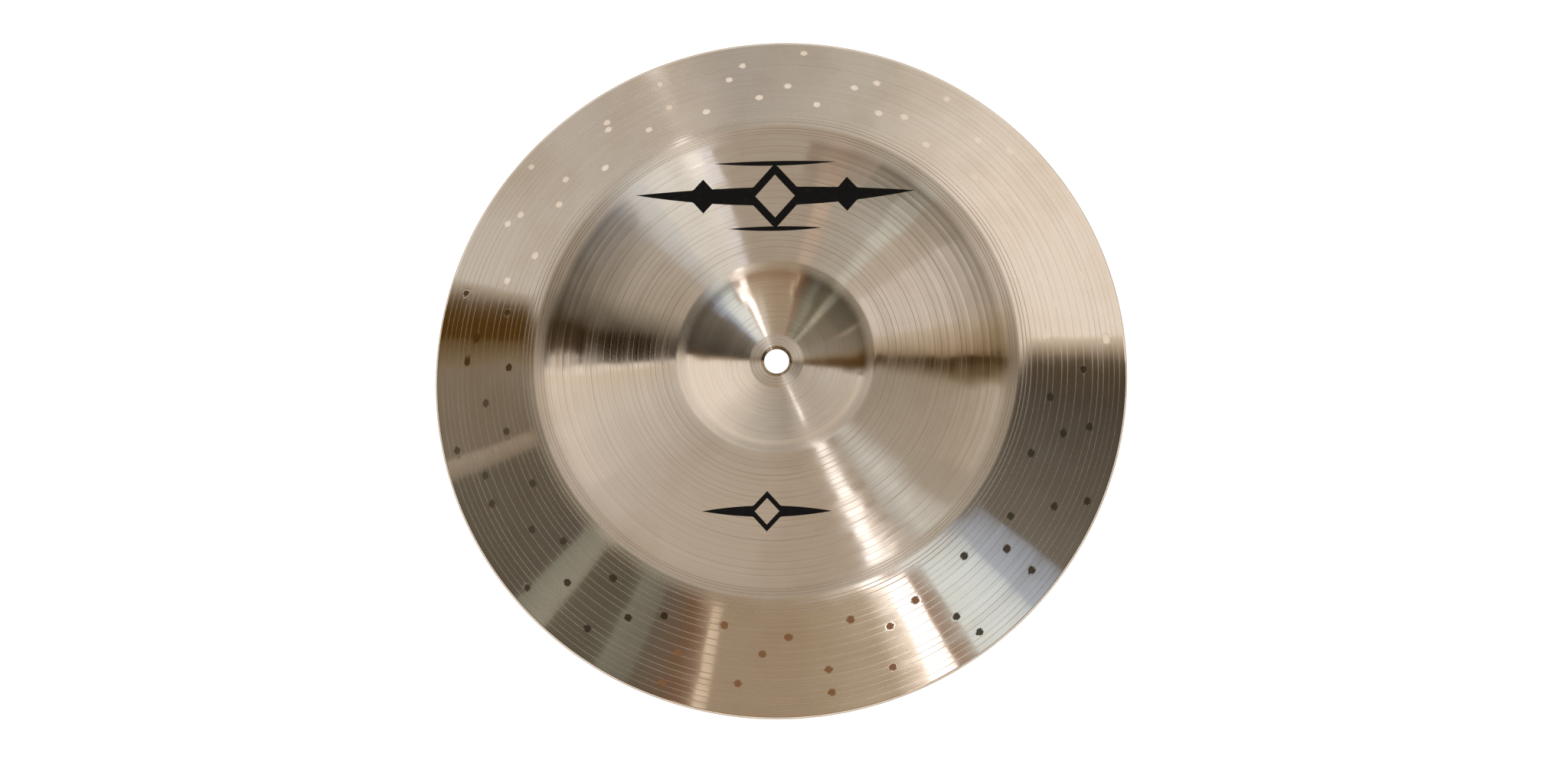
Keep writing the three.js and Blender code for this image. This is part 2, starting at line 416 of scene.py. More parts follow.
def section_rows(section, lathe):
    """The closed section as rows of (place, how deep in a groove, is it on the hollow side)."""
    bevel_radius = HOLE_RADIUS + HOLE_BEVEL_WIDTH
    rim_start = RIM_RADIUS - RIM_ROUNDING
    under_count = round((rim_start - LAND_RADIUS) / UNDER_ROW_STEP)
    under_step = (rim_start - LAND_RADIUS) / under_count
    under = [HOLE_RADIUS, bevel_radius]
    under += [LAND_RADIUS + under_step * n for n in range(under_count + 1)]
    under += rows_beside(CREASE_RADIUS, CREASE_CORNER_LENGTH, UNDER_CORNER_ROWS)
    under_reach = CUP_CORNER_LENGTH * UNDER_CUP_CORNER_SHARE
    under += rows_beside(CUP_RADIUS, under_reach, UNDER_CORNER_ROWS)
    rows = [(section.outer(radius)[0], 0.0, 0.0) for radius in sorted(under)]

    low = section.outer(rim_start)[0]
    high = section.inner(rim_start)
    for angle in RIM_ANGLES:
        turn = math.radians(angle)
        middle = low.lerp(high, (1 + math.sin(turn)) / 2)
        edge = Vector((low.x + (RIM_RADIUS - low.x) * math.cos(turn), middle.y))
        rows.append((edge, 0.0, 0.5 + angle / (2 * RIM_ANGLES[-1])))

    upper = []
    for radius, width, depth in grooves_of(lathe):
        upper.append((radius - width / 2, 0.0, 0.0))
        upper.append((radius, depth, depth / lathe.groove_depth))
        upper.append((radius + width / 2, 0.0, 0.0))
    plain_radii = [bevel_radius, LAND_RADIUS, rim_start]
    plain_radii += rows_beside(CREASE_RADIUS, CREASE_CORNER_LENGTH, CREASE_ROWS)
    plain_radii += rows_beside(CUP_RADIUS, CUP_CORNER_LENGTH, CUP_CORNER_ROWS)
    upper += [(radius, 0.0, 0.0) for radius in plain_radii]
    upper.sort()
    filled = [upper[0]]
    for row in upper[1:]:
        start = filled[-1][0]
        gap = row[0] - start
        steps = math.ceil(gap / ROW_STEP)
        filled += [(start + gap * n / steps, 0.0, 0.0) for n in range(1, steps)]
        filled.append(row)
    for radius, depth, groove in reversed(filled):
        rows.append((section.inner(radius, depth), groove, 1.0))

    bevel_low = Vector((HOLE_RADIUS, CROWN_THICKNESS - HOLE_BEVEL_DEPTH))
    bevel_high = Vector((bevel_radius, CROWN_THICKNESS))
    bevel_tip = Vector((HOLE_RADIUS, CROWN_THICKNESS))
    bend = bevel_tip.lerp(bevel_low, BEVEL_ROUNDING_SHARE)
    for place in rounded_corner(bevel_high, bend, bevel_low, BEVEL_STEPS):
        rows.append((place, 0.0, 1.0))
    rows.append((bevel_low, 0.0, 1.0))
    return rows


def mesh_object(name, mesh):
    """A new object in the scene that shows a mesh."""
    thing = bpy.data.objects.new(name, mesh)
    bpy.context.scene.collection.objects.link(thing)
    return thing


def section_object(section, lathe):
    """The closed section as a loop of edges in the XY plane, radius along X."""
    rows = section_rows(section, lathe)
    mesh = bpy.data.meshes.new("sheet section")
    count = len(rows)
    mesh.from_pydata(
        [(place.x, place.y, 0) for place, _, _ in rows],
        [(n, (n + 1) % count) for n in range(count)],
        [],
    )
    groove = mesh.attributes.new("groove", "FLOAT", "POINT")
    upper = mesh.attributes.new("upper", "FLOAT", "POINT")
    groove.data.foreach_set("value", [row[1] for row in rows])
    upper.data.foreach_set("value", [row[2] for row in rows])
    return mesh_object("sheet section", mesh)


# Geometry Nodes


def new_tree(name, sockets):
    """A geometry tree with named inputs. Each socket is (name, kind, default)."""
    tree = bpy.data.node_groups.new(name, "GeometryNodeTree")
    tree.interface.new_socket("Geometry", in_out="INPUT", socket_type="NodeSocketGeometry")
    for socket_name, kind, default in sockets:
        socket = tree.interface.new_socket(socket_name, in_out="INPUT", socket_type=kind)
        if default is not None:
            socket.default_value = default
    tree.interface.new_socket("Geometry", in_out="OUTPUT", socket_type="NodeSocketGeometry")
    return tree


def add_modifier(thing, tree, values):
    """Put a geometry tree on an object, with its inputs set by the sockets' identifiers."""
    modifier = thing.modifiers.new(tree.name, "NODES")
    modifier.node_group = tree
    for item in tree.interface.items_tree:
        if item.in_out == "INPUT" and item.name in values:
            modifier[item.identifier] = values[item.name]


def applied_mesh(thing, name):
    """The mesh that an object's modifiers make, as plain data. The object is removed."""
    depsgraph = bpy.context.evaluated_depsgraph_get()
    depsgraph.update()
    mesh = bpy.data.meshes.new_from_object(thing.evaluated_get(depsgraph), depsgraph=depsgraph)
    mesh.name = name
    bpy.data.objects.remove(thing)
    return mesh


def turned_sheet_tree():
    """Turns a closed section in the XY plane about the Z axis, as a lathe does."""
    tree = new_tree(
        "Turned Sheet",
        [
            ("Steps", "NodeSocketInt", TURN_STEPS),
            ("Spindle", "NodeSocketFloat", RIM_RADIUS),
            ("Material", "NodeSocketMaterial", None),
        ],
    )
    given = add_node(tree, "NodeGroupInput").outputs
    shift = add_node(tree, "ShaderNodeMath", {0: given["Spindle"], 1: -1.0}, operation="MULTIPLY")
    offset = add_node(tree, "ShaderNodeCombineXYZ", {"X": shift.outputs[0]})
    moved = add_node(
        tree,
        "GeometryNodeTransform",
        {"Geometry": given["Geometry"], "Translation": offset.outputs[0], "Scale": (1, -1, 1)},
    )
    section = add_node(tree, "GeometryNodeMeshToCurve", {"Mesh": moved.outputs[0]})
    circle = add_node(
        tree,
        "GeometryNodeCurvePrimitiveCircle",
        {"Resolution": given["Steps"], "Radius": given["Spindle"]},
        mode="RADIUS",
    )
    path = add_node(tree, "GeometryNodeSetCurveNormal", {"Curve": circle.outputs["Curve"]}, mode="Z_UP")
    swept = add_node(
        tree,
        "GeometryNodeCurveToMesh",
        {"Curve": path.outputs[0], "Profile Curve": section.outputs[0]},
    )
    smooth = add_node(tree, "GeometryNodeSetShadeSmooth", {0: swept.outputs[0]})
    whole = add_node(tree, "GeometryNodeRealizeInstances", {0: smooth.outputs[0]})
    dressed = add_node(
        tree,
        "GeometryNodeSetMaterial",
        {"Geometry": whole.outputs[0], "Material": given["Material"]},
    )
    add_node(tree, "NodeGroupOutput", {0: dressed.outputs[0]})
    return tree


def hammer_row_tree():
    """One row of marks round the axis, evenly spaced but for a small random error."""
    tree = new_tree(
        "Row of Hammer Marks",
        [
            ("Count", "NodeSocketInt", 14),
            ("Radius", "NodeSocketFloat", 0.15),
            ("Start Angle", "NodeSocketFloat", 0.0),
            ("Zigzag", "NodeSocketFloat", 1.2 * MM),
            ("Error", "NodeSocketFloat", 2.6 * MM),
            ("Seed", "NodeSocketInt", LATHE_SEED),
        ],
    )
    given = add_node(tree, "NodeGroupInput").outputs
    index = add_node(tree, "GeometryNodeInputIndex").outputs[0]
    turn = add_node(tree, "ShaderNodeMath", {0: math.tau, 1: given["Count"]}, operation="DIVIDE")
    angle = add_node(
        tree,
        "ShaderNodeMath",
        {0: index, 1: turn.outputs[0], 2: given["Start Angle"]},
        operation="MULTIPLY_ADD",
    )
    odd = add_node(tree, "ShaderNodeMath", {0: index, 1: 2.0}, operation="MODULO")
    radius = add_node(
        tree,
        "ShaderNodeMath",
        {0: odd.outputs[0], 1: given["Zigzag"], 2: given["Radius"]},
        operation="MULTIPLY_ADD",
    )
    cosine = add_node(tree, "ShaderNodeMath", {0: angle.outputs[0]}, operation="COSINE")
    sine = add_node(tree, "ShaderNodeMath", {0: angle.outputs[0]}, operation="SINE")
    direction = add_node(tree, "ShaderNodeCombineXYZ", {"X": cosine.outputs[0], "Y": sine.outputs[0]})
    place = add_node(
        tree,
        "ShaderNodeVectorMath",
        {"Vector": direction.outputs[0], "Scale": radius.outputs[0]},
        operation="SCALE",
    )
    shake = add_node(
        tree,
        "FunctionNodeRandomValue",
        {0: (-1.0, -1.0, 0.0), 1: (1.0, 1.0, 0.0), "Seed": given["Seed"]},
        data_type="FLOAT_VECTOR",
    )
    error = add_node(
        tree,
        "ShaderNodeVectorMath",
        {"Vector": shake.outputs[0], "Scale": given["Error"]},
        operation="SCALE",
    )
    final = add_node(
        tree, "ShaderNodeVectorMath", {0: place.outputs[0], 1: error.outputs[0]}, operation="ADD"
    )
    points = add_node(
        tree, "GeometryNodePoints", {"Count": given["Count"], "Position": final.outputs[0]}
    )
    dots = add_node(tree, "GeometryNodePointsToVertices", {"Points": points.outputs[0]})
    joined = add_node(tree, "GeometryNodeJoinGeometry", {0: given["Geometry"]})
    tree.links.new(dots.outputs[0], joined.inputs[0])
    whole = add_node(tree, "GeometryNodeRealizeInstances", {0: joined.outputs[0]})
    add_node(tree, "NodeGroupOutput", {0: whole.outputs[0]})
    return tree


def hammered_sheet_tree():
    """Waves all over the sheet, and a shallow flat-bottomed mark at each point of Marks."""
    tree = new_tree(
        "Hammered Sheet",
        [
            ("Marks", "NodeSocketObject", None),
            ("Mark Length", "NodeSocketFloat", MARK_LENGTH),
            ("Mark Width", "NodeSocketFloat", MARK_WIDTH),
            ("Mark Depth", "NodeSocketFloat", MARK_DEPTH),
            ("Wave Size", "NodeSocketFloat", WAVE_SIZE),
            ("Wave Depth", "NodeSocketFloat", WAVE_DEPTH),
            ("Cup Radius", "NodeSocketFloat", CUP_RADIUS),
            ("Crease Radius", "NodeSocketFloat", CREASE_RADIUS),
            ("Rim Radius", "NodeSocketFloat", RIM_RADIUS),
            ("Seed", "NodeSocketFloat", WAVE_SEED),
            ("Material", "NodeSocketMaterial", None),
        ],
    )
    given = add_node(tree, "NodeGroupInput").outputs
    position = add_node(tree, "GeometryNodeInputPosition").outputs[0]
    flat, radius = from_axis(tree, position)
    outward = add_node(tree, "ShaderNodeVectorMath", {0: flat}, operation="NORMALIZE").outputs[0]

    # The mark that is nearest to each place, and how far off it is along and across the rim
    marks = add_node(tree, "GeometryNodeObjectInfo", {"Object": given["Marks"]}).outputs["Geometry"]
    nearest = add_node(
        tree,
        "GeometryNodeSampleNearest",
        {"Geometry": marks, "Sample Position": flat},
        domain="POINT",
    )
    middle = add_node(
        tree,
        "GeometryNodeSampleIndex",
        {"Geometry": marks, "Value": position, "Index": nearest.outputs[0]},
        data_type="FLOAT_VECTOR",
        domain="POINT",
    )
    away = add_node(
        tree, "ShaderNodeVectorMath", {0: flat, 1: middle.outputs[0]}, operation="SUBTRACT"
    ).outputs[0]
    side = add_node(
        tree, "ShaderNodeVectorMath", {0: outward, 1: (0.0, 0.0, 1.0)}, operation="CROSS_PRODUCT"
    ).outputs[0]
    shares = []
    for direction, size in ((outward, given["Mark Width"]), (side, given["Mark Length"])):
        off = add_node(
            tree, "ShaderNodeVectorMath", {0: away, 1: direction}, operation="DOT_PRODUCT"
        ).outputs["Value"]
        shares.append(add_node(tree, "ShaderNodeMath", {0: off, 1: size}, operation="DIVIDE").outputs[0])
    pair = add_node(tree, "ShaderNodeCombineXYZ", {"X": shares[0], "Y": shares[1]})
    reach = add_node(tree, "ShaderNodeVectorMath", {0: pair.outputs[0]}, operation="LENGTH")
    bottom, brim = MARK_EDGE_SHARES
    inside = add_node(
        tree,
        "ShaderNodeMapRange",
        {
            "Value": reach.outputs["Value"],
            "From Min": bottom,
            "From Max": brim,
            "To Min": 1.0,
            "To Max": 0.0,
        },
        interpolation_type="SMOOTHSTEP",
    ).outputs[0]
    upper = add_node(
        tree, "GeometryNodeInputNamedAttribute", {"Name": "upper"}, data_type="FLOAT"
    ).outputs[0]
    peened = add_node(tree, "ShaderNodeMath", {0: inside, 1: upper}, operation="MULTIPLY").outputs[0]
    dent = add_node(
        tree, "ShaderNodeMath", {0: peened, 1: given["Mark Depth"]}, operation="MULTIPLY"
    ).outputs[0]

    # The waves grow from the cup's edge outwards. They fade out at the crease and the rim, so that
    # the outline stays true
    fine = add_node(tree, "ShaderNodeMath", {0: 1.0, 1: given["Wave Size"]}, operation="DIVIDE")
    lift = add_node(tree, "ShaderNodeCombineXYZ", {"Z": given["Seed"]})
    spot = add_node(tree, "ShaderNodeVectorMath", {0: flat, 1: lift.outputs[0]}, operation="ADD")
    noise = add_node(
        tree,
        "ShaderNodeTexNoise",
        {"Vector": spot.outputs[0], "Scale": fine.outputs[0], "Detail": 0.6, "Roughness": 0.35},
    ).outputs[0]
    from_rim = add_node(
        tree, "ShaderNodeMath", {0: given["Rim Radius"], 1: radius}, operation="SUBTRACT"
    ).outputs[0]
    crease_gap = gap_from(tree, radius, given["Crease Radius"])
    wave = add_node(tree, "ShaderNodeMath", {0: noise, 1: 0.5}, operation="SUBTRACT").outputs[0]
    for value, start, end in (
        (radius, given["Cup Radius"], given["Crease Radius"]),
        (crease_gap, 0.0, given["Wave Size"]),
        (from_rim, 0.0, given["Wave Size"]),
    ):
        fade = add_node(
            tree,
            "ShaderNodeMapRange",
            {"Value": value, "From Min": start, "From Max": end},
            interpolation_type="SMOOTHSTEP",
        ).outputs[0]
        wave = add_node(tree, "ShaderNodeMath", {0: wave, 1: fade}, operation="MULTIPLY").outputs[0]
    wave = add_node(
        tree, "ShaderNodeMath", {0: wave, 1: given["Wave Depth"]}, operation="MULTIPLY"
    ).outputs[0]
    rise = add_node(tree, "ShaderNodeMath", {0: wave, 1: dent}, operation="SUBTRACT")
    offset = add_node(tree, "ShaderNodeCombineXYZ", {"Z": rise.outputs[0]})
    stored = add_node(
        tree,
        "GeometryNodeStoreNamedAttribute",
        {"Geometry": given["Geometry"], "Name": "peened", "Value": peened},
        data_type="FLOAT",
        domain="POINT",
    )
    shaped = add_node(
        tree, "GeometryNodeSetPosition", {"Geometry": stored.outputs[0], "Offset": offset.outputs[0]}
    )
    whole = add_node(tree, "GeometryNodeRealizeInstances", {0: shaped.outputs[0]})
    dressed = add_node(
        tree,
        "GeometryNodeSetMaterial",
        {"Geometry": whole.outputs[0], "Material": given["Material"]},
    )
    add_node(tree, "NodeGroupOutput", {0: dressed.outputs[0]})
    return tree


# Materials


def new_material(name):
    """A material with no nodes yet."""
    material = bpy.data.materials.new(name)
    material.use_nodes = True
    material.node_tree.nodes.clear()
    return material


def swell(tree, value, places, height):
    """A factor that grows from zero at the first place to its height and dies away at the last."""
    start, top, end = places
    slopes = []
    for low, high, first, last in ((start, top, 0.0, height), (top, end, 1.0, 0.0)):
        slope = add_node(
            tree,
            "ShaderNodeMapRange",
            {"Value": value, "From Min": low, "From Max": high, "To Min": first, "To Max": last},
            interpolation_type="SMOOTHSTEP",
        )
        slopes.append(slope.outputs[0])
    return add_node(
        tree, "ShaderNodeMath", {0: slopes[0], 1: slopes[1]}, operation="MULTIPLY"
    ).outputs[0]


def bronze_colour(tree, finish, radius, lines, patches, bow_groove):
    """Clean bronze, duller in patches and between tool lines, with painted shade in the bow's grooves.
    """
    soiled = 0.0
    for value, start, end, most in ((patches, 0.45, 0.75, 0.55), (lines, 0.35, 0.7, 0.3)):
        part = add_node(
            tree,
            "ShaderNodeMapRange",
            {"Value": value, "From Min": start, "From Max": end, "To Min": 0.0, "To Max": most},
        ).outputs[0]
        soiled = add_node(tree, "ShaderNodeMath", {0: soiled, 1: part}, operation="ADD").outputs[0]
    # The tarnish is real in patches and between tool lines, and painted shade in the bow's grooves
    tarnish_and_groove_shade = add_node(
        tree,
        "ShaderNodeMath",
        {0: bow_groove, 1: GROOVE_SHADE_SHARE, 2: soiled},
        operation="MULTIPLY_ADD",
        use_clamp=True,
    ).outputs[0]
    base = add_node(
        tree,
        "ShaderNodeMix",
        {"Factor": tarnish_and_groove_shade, "A": finish.bronze[:], "B": finish.tarnish[:]},
        data_type="RGBA",
    ).outputs["Result"]
    # The darker brown is painted shade in the bow's grooves, and it also darkens the bevel of the hole
    by_hole = add_node(
        tree,
        "ShaderNodeMapRange",
        {
            "Value": radius,
            "From Min": HOLE_RADIUS + HOLE_BEVEL_WIDTH,
            "From Max": HOLE_RADIUS + BEVEL_DARKENING_REACH_SHARE * HOLE_BEVEL_WIDTH,
            "To Min": 1.0,
            "To Max": 0.0,
        },
    ).outputs[0]
    groove_shade_and_bevel = add_node(
        tree,
        "ShaderNodeMath",
        {0: bow_groove, 1: GROOVE_DARK_SHADE_SHARE, 2: by_hole},
        operation="MULTIPLY_ADD",
        use_clamp=True,
    ).outputs[0]
    return add_node(
        tree,
        "ShaderNodeMix",
        {"Factor": groove_shade_and_bevel, "A": base, "B": finish.groove_shade_and_bevel_tint[:]},
        data_type="RGBA",
    ).outputs["Result"]


def bronze_roughness(tree, radius, lines, bands, flange, bow_groove, flange_groove):
    """How rough the lathe and the hand leave each zone."""
    # The tool is turned round beside the crease, and the cup's corner is buffed by hand. The cup is
    # pressed and only brushed, so all of it is duller than the bow
    crease_gap = gap_from(tree, radius, CREASE_RADIUS)
    corner_gap = gap_from(tree, radius, CUP_RADIUS)
    cup_start, cup_end = CUP_RADIUS - CUP_CORNER_LENGTH, CUP_RADIUS + CUP_CORNER_LENGTH
    rough = 0.0
    for value, start, end, first, last, blend in (
        (lines, 0.3, 0.7, *LINE_ROUGHNESS, "LINEAR"),
        (bands, 0.35, 0.65, *BAND_ROUGHNESS, "LINEAR"),
        (crease_gap, 0.0, CREASE_ROUGH_REACH, CREASE_ROUGHNESS, 0.0, "SMOOTHSTEP"),
        (corner_gap, 0.0, CUP_CORNER_ROUGH_REACH, CUP_CORNER_ROUGHNESS, 0.0, "SMOOTHSTEP"),
        (radius, cup_start, cup_end, CUP_ROUGHNESS, 0.0, "SMOOTHSTEP"),
    ):
        part = add_node(
            tree,
            "ShaderNodeMapRange",
            {"Value": value, "From Min": start, "From Max": end, "To Min": first, "To Max": last},
            interpolation_type=blend,
        ).outputs[0]
        rough = add_node(tree, "ShaderNodeMath", {0: rough, 1: part}, operation="ADD").outputs[0]
    for where, added in (
        (flange, FLANGE_ROUGHNESS),
        (bow_groove, BOW_GROOVE_ROUGHNESS),
        (flange_groove, FLANGE_GROOVE_ROUGHNESS),
    ):
        rough = add_node(
            tree, "ShaderNodeMath", {0: where, 1: added, 2: rough}, operation="MULTIPLY_ADD"
        ).outputs[0]
    return rough


def bronze_normal(tree, radius, outward, lines, peened):
    """The relief of the tool lines, with the lean of the marks' bottoms and of three zones."""
    unpeened = add_node(tree, "ShaderNodeMath", {0: 1.0, 1: peened}, operation="SUBTRACT").outputs[0]
    relief = add_node(tree, "ShaderNodeMath", {0: lines, 1: unpeened}, operation="MULTIPLY").outputs[0]
    bump = add_node(
        tree, "ShaderNodeBump", {"Strength": 1.0, "Distance": LINE_RELIEF, "Height": relief}
    ).outputs[0]
    leaning = add_node(
        tree, "ShaderNodeMath", {0: peened, 1: MARK_LEAN_SHARE}, operation="MULTIPLY"
    ).outputs[0]
    for places, share in (
        (CUP_START_PLACES, CUP_START_LEAN_SHARE),
        (BOW_END_PLACES, BOW_END_LEAN_SHARE),
        (FLANGE_START_PLACES, FLANGE_START_LEAN_SHARE),
    ):
        lean = swell(tree, radius, places, share)
        leaning = add_node(tree, "ShaderNodeMath", {0: leaning, 1: lean}, operation="ADD").outputs[0]
    pull = add_node(
        tree, "ShaderNodeVectorMath", {"Vector": outward, "Scale": leaning}, operation="SCALE"
    ).outputs[0]
    leant = add_node(tree, "ShaderNodeVectorMath", {0: bump, 1: pull}, operation="ADD").outputs[0]
    return add_node(tree, "ShaderNodeVectorMath", {0: leant}, operation="NORMALIZE").outputs[0]


def lathed_bronze(finish):
    """Bell bronze, cast, rolled, hammered and then cut on a lathe. The tool leaves fine lines
    round the axis, so a light is drawn out into a streak that runs from the cup to the rim."""
    material = new_material("lathed bell bronze")
    tree = material.node_tree
    place = add_node(tree, "ShaderNodeTexCoord").outputs["Object"]
    arm, radius = from_axis(tree, place)
    outward = add_node(tree, "ShaderNodeVectorMath", {0: arm}, operation="NORMALIZE").outputs[0]
    groove = add_node(tree, "ShaderNodeAttribute", attribute_name="groove").outputs["Fac"]
    peened = add_node(tree, "ShaderNodeAttribute", attribute_name="peened").outputs["Fac"]

    # The lines and bands are rings: the noise changes fast along the radius and slowly round it
    across = add_node(tree, "ShaderNodeMath", {0: radius, 1: 1 / LINE_SPACING}, operation="MULTIPLY")
    rise = add_node(tree, "ShaderNodeCombineXYZ", {"Z": across.outputs[0]})
    slow = add_node(
        tree, "ShaderNodeVectorMath", {"Vector": outward, "Scale": RING_UNEVENNESS}, operation="SCALE"
    )
    ring_place = add_node(
        tree, "ShaderNodeVectorMath", {0: rise.outputs[0], 1: slow.outputs[0]}, operation="ADD"
    ).outputs[0]
    lines = add_node(
        tree,
        "ShaderNodeTexNoise",
        {"Vector": ring_place, "Scale": 1.0, "Detail": 3.0, "Roughness": 0.65},
    ).outputs[0]
    bands = add_node(
        tree,
        "ShaderNodeTexNoise",
        {"Vector": ring_place, "Scale": BAND_SCALE_SHARE, "Detail": 1.0, "Roughness": 0.5},
    ).outputs[0]
    # Patches where hands and air have begun to tarnish the bronze
    patches = add_node(
        tree,
        "ShaderNodeTexNoise",
        {"Vector": place, "Scale": 1 / PATCH_SIZE, "Detail": 4.0, "Roughness": 0.6},
    ).outputs[0]
    # Grooves on the bow are painted as brown shade, and on the flange they are rough pale lines
    flange = add_node(
        tree,
        "ShaderNodeMapRange",
        {
            "Value": radius,
            "From Min": CREASE_RADIUS - CREASE_CORNER_LENGTH,
            "From Max": CREASE_RADIUS + CREASE_CORNER_LENGTH,
        },
    ).outputs[0]
    bow = add_node(tree, "ShaderNodeMath", {0: 1.0, 1: flange}, operation="SUBTRACT").outputs[0]
    bow_groove = add_node(tree, "ShaderNodeMath", {0: groove, 1: bow}, operation="MULTIPLY").outputs[0]
    flange_groove = add_node(
        tree, "ShaderNodeMath", {0: groove, 1: flange}, operation="MULTIPLY"
    ).outputs[0]

    rough = bronze_roughness(tree, radius, lines, bands, flange, bow_groove, flange_groove)
    marked_rough = add_node(
        tree, "ShaderNodeMix", {"Factor": peened, "A": rough, "B": MARK_ROUGHNESS}, data_type="FLOAT"
    ).outputs[0]
    surface = add_node(
        tree,
        "ShaderNodeBsdfPrincipled",
        {
            "Base Color": bronze_colour(tree, finish, radius, lines, patches, bow_groove),
            "Metallic": 1.0,
            "Roughness": marked_rough,
            "Anisotropic": 1.0,
            "Tangent": outward,
            "Normal": bronze_normal(tree, radius, outward, lines, peened),
        },
    )
    add_node(tree, "ShaderNodeOutputMaterial", {"Surface": surface.outputs[0]})
    return material


def printed_ink(finish):
    """Screen-printed ink: a thin black film that lets the lathe's lines show in its sheen."""
    material = new_material("screen printed ink")
    tree = material.node_tree
    place = add_node(tree, "ShaderNodeTexCoord").outputs["Object"]
    radius = from_axis(tree, place)[1]
    across = add_node(tree, "ShaderNodeMath", {0: radius, 1: 1 / LINE_SPACING}, operation="MULTIPLY")
    rise = add_node(tree, "ShaderNodeCombineXYZ", {"Z": across.outputs[0]})
    lines = add_node(
        tree,
        "ShaderNodeTexNoise",
        {"Vector": rise.outputs[0], "Scale": 1.0, "Detail": 2.0, "Roughness": 0.6},
    ).outputs[0]
    thin = add_node(
        tree, "ShaderNodeTexNoise", {"Vector": place, "Scale": 1 / THIN_SPOT_SIZE, "Detail": 2.0}
    ).outputs[0]
    faded = add_node(
        tree,
        "ShaderNodeMapRange",
        {"Value": thin, "From Min": 0.5, "From Max": 0.8, "To Min": 0.0, "To Max": 0.5},
    ).outputs[0]
    base = add_node(
        tree,
        "ShaderNodeMix",
        {"Factor": faded, "A": finish.ink[:], "B": colour(THIN_INK)},
        data_type="RGBA",
    ).outputs["Result"]
    rough = add_node(
        tree,
        "ShaderNodeMapRange",
        {
            "Value": lines,
            "From Min": 0.3,
            "From Max": 0.7,
            "To Min": INK_ROUGHNESS[0],
            "To Max": INK_ROUGHNESS[1],
        },
    ).outputs[0]
    bump = add_node(tree, "ShaderNodeBump", {"Strength": 1.0, "Distance": INK_RELIEF, "Height": lines})
    surface = add_node(
        tree,
        "ShaderNodeBsdfPrincipled",
        {
            "Base Color": base,
            "Metallic": 0.0,
            "Roughness": rough,
            "Specular IOR Level": INK_SPECULAR,
            "Normal": bump.outputs[0],
        },
    )
    add_node(tree, "ShaderNodeOutputMaterial", {"Surface": surface.outputs[0]})
    return material


def card_material(name, start_code, end_code, strength):
    """A lit or a dark studio card: it only gives light, from one colour to another along it."""
    material = new_material(name)
    tree = material.node_tree
    along = add_node(tree, "ShaderNodeAttribute", attribute_name="along").outputs["Fac"]
    tint = add_node(
        tree,
        "ShaderNodeMix",
        {"Factor": along, "A": colour(start_code), "B": colour(end_code)},
        data_type="RGBA",
    )
    light = add_node(
        tree, "ShaderNodeEmission", {"Color": tint.outputs["Result"], "Strength": strength}
    )
    add_node(tree, "ShaderNodeOutputMaterial", {"Surface": light.outputs[0]})
    return material


def floor_material():
    """A pale matt floor. Its own light brings it up to white, and the shadow still shows."""
    material = new_material("pale studio floor")
    tree = material.node_tree
    paint = add_node(tree, "ShaderNodeBsdfDiffuse", {"Color": colour("#BDBDBD")})
    glow = add_node(tree, "ShaderNodeEmission", {"Color": colour("#FFFFFF"), "Strength": FLOOR_GLOW})
    lit = add_node(tree, "ShaderNodeAddShader", {0: paint.outputs[0], 1: glow.outputs[0]})
    path = add_node(tree, "ShaderNodeLightPath")
    seen = path.outputs["Is Camera Ray"]
    for ray in ("Is Glossy Ray", "Is Transmission Ray"):
        seen = add_node(
            tree, "ShaderNodeMath", {0: seen, 1: path.outputs[ray]}, operation="MAXIMUM"
        ).outputs[0]
    top = add_node(tree, "ShaderNodeMixShader", {0: seen, 1: paint.outputs[0], 2: lit.outputs[0]})
    # Seen from below the floor is clear, so that the outer face of the cymbal can be looked at
    below = add_node(tree, "ShaderNodeNewGeometry").outputs["Backfacing"]
    clear = add_node(tree, "ShaderNodeBsdfTransparent")
    surface = add_node(tree, "ShaderNodeMixShader", {0: below, 1: top.outputs[0], 2: clear.outputs[0]})
    add_node(tree, "ShaderNodeOutputMaterial", {"Surface": surface.outputs[0]})
    return material


